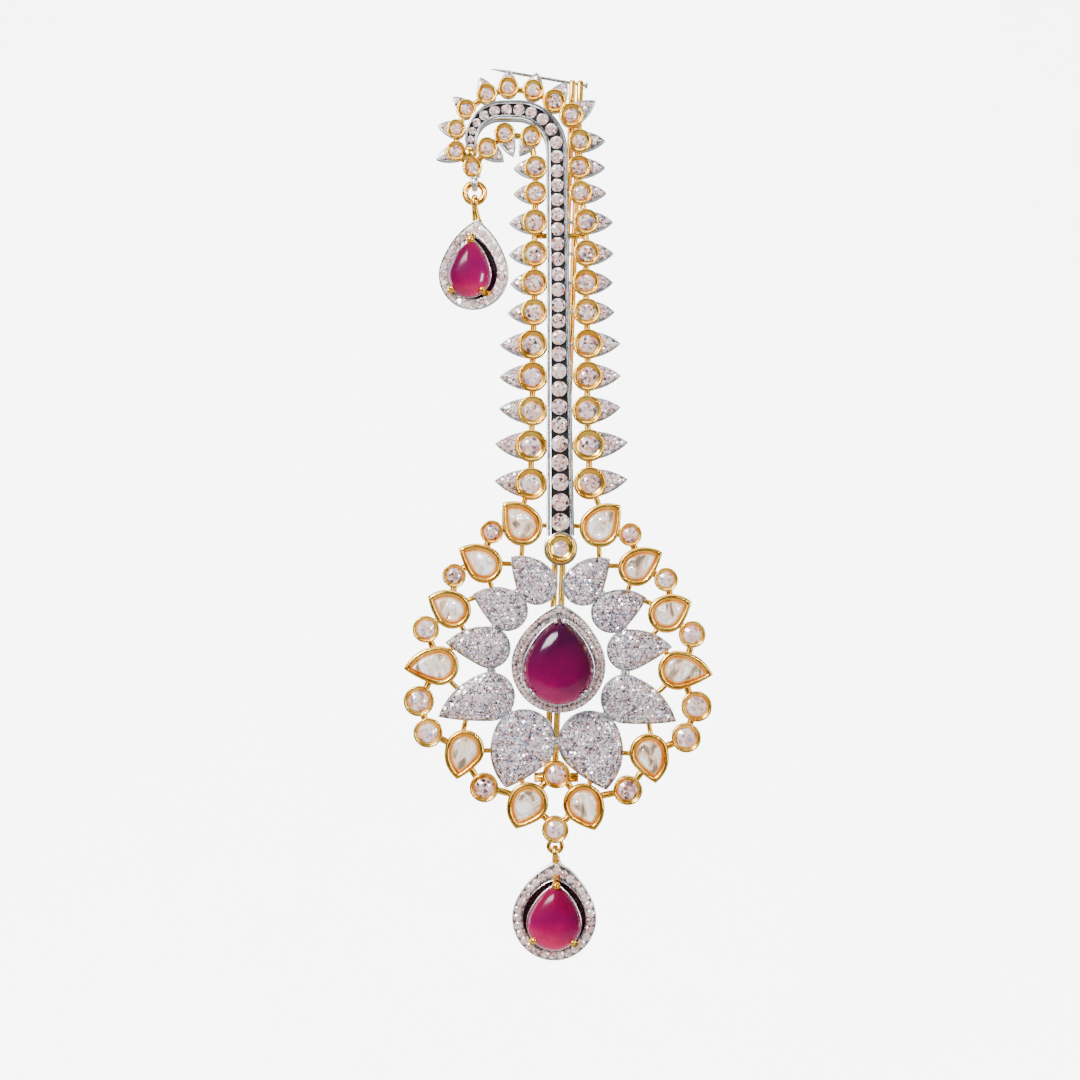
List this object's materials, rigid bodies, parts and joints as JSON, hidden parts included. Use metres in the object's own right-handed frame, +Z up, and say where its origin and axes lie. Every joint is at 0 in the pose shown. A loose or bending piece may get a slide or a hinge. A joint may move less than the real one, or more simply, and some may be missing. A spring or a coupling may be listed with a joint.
{
  "type": "turban ornament",
  "caption": "Kalgi turban ornament: a hooked plume of bezel-set diamonds over a ruby and polki medallion, with two hanging ruby drops and a long pin behind.",
  "frame": {"origin": "on the axis of the turban pin behind the plume's stem, at the height where the turban's cloth grips it", "axes": "+Z up along the plume, -Y out of the ornament's jewelled front, +X to the viewer's right"},
  "size_m": [0.0464, 0.0116, 0.1351],
  "materials": {
    "yellow_gold": "polished",
    "white_gold": "polished",
    "pin_gold": "satin",
    "steel": "satin",
    "diamond": "polished",
    "polki": "polished",
    "ruby": "polished",
    "drop_ruby": "polished"
  },
  "bodies": {
    "ornament": {"stem_channel": "white_gold", "base_diamond": "diamond", "right_bezel_row": "yellow_gold", "left_bezel_row": "yellow_gold", "crest_bezel_row": "yellow_gold", "polki_ring": "yellow_gold", "pave_leaves": "white_gold", "ruby_halo": "white_gold", "central_ruby": "ruby", "polki_neck_right": "polki", "polki_neck_left": "polki", "polki_shoulder_right": "polki", "polki_shoulder_left": "polki", "polki_upper_right": "polki", "polki_upper_left": "polki", "polki_side_right": "polki", "polki_side_left": "polki", "polki_lower_right": "polki", "polki_lower_left": "polki", "polki_foot_right": "polki", "polki_foot_left": "polki", "diamond_neck_right": "diamond", "diamond_neck_left": "diamond", "diamond_shoulder_right": "diamond", "diamond_shoulder_left": "diamond", "diamond_upper_right": "diamond", "diamond_upper_left": "diamond", "diamond_side_right": "diamond", "diamond_side_left": "diamond", "diamond_lower_right": "diamond", "diamond_lower_left": "diamond", "diamond_foot_right": "diamond", "diamond_foot_left": "diamond", "diamond_axis": "diamond", "diamond_end": "diamond", "pin_fork": "pin_gold", "cross_rod": "steel"},
    "ring": {"jump_ring": "yellow_gold"},
    "hook_drop": {"hook_drop_frame": "white_gold", "hook_drop_ruby": "drop_ruby"},
    "lower_drop": {"lower_drop_frame": "white_gold", "lower_drop_ruby": "drop_ruby"}
  },
  "joints": [
    {"name": "ring_swing", "type": "hinge", "parent": "ornament", "child": "ring", "pos_m": [-0.01401, -0.0032, 0.02063], "axis": [1, 0, 0], "range_deg": [-60, 12]},
    {"name": "hook_drop_swing", "type": "hinge", "parent": "ring", "child": "hook_drop", "pos_m": [-0.01401, -0.0032, 0.01918], "axis": [0, 1, 0], "range_deg": [0, 50]},
    {"name": "lower_drop_swing", "type": "hinge", "parent": "ornament", "child": "lower_drop", "pos_m": [-0.00191, -0.0032, -0.07997], "axis": [1, 0, 0], "range_deg": [-60, 15]}
  ]
}
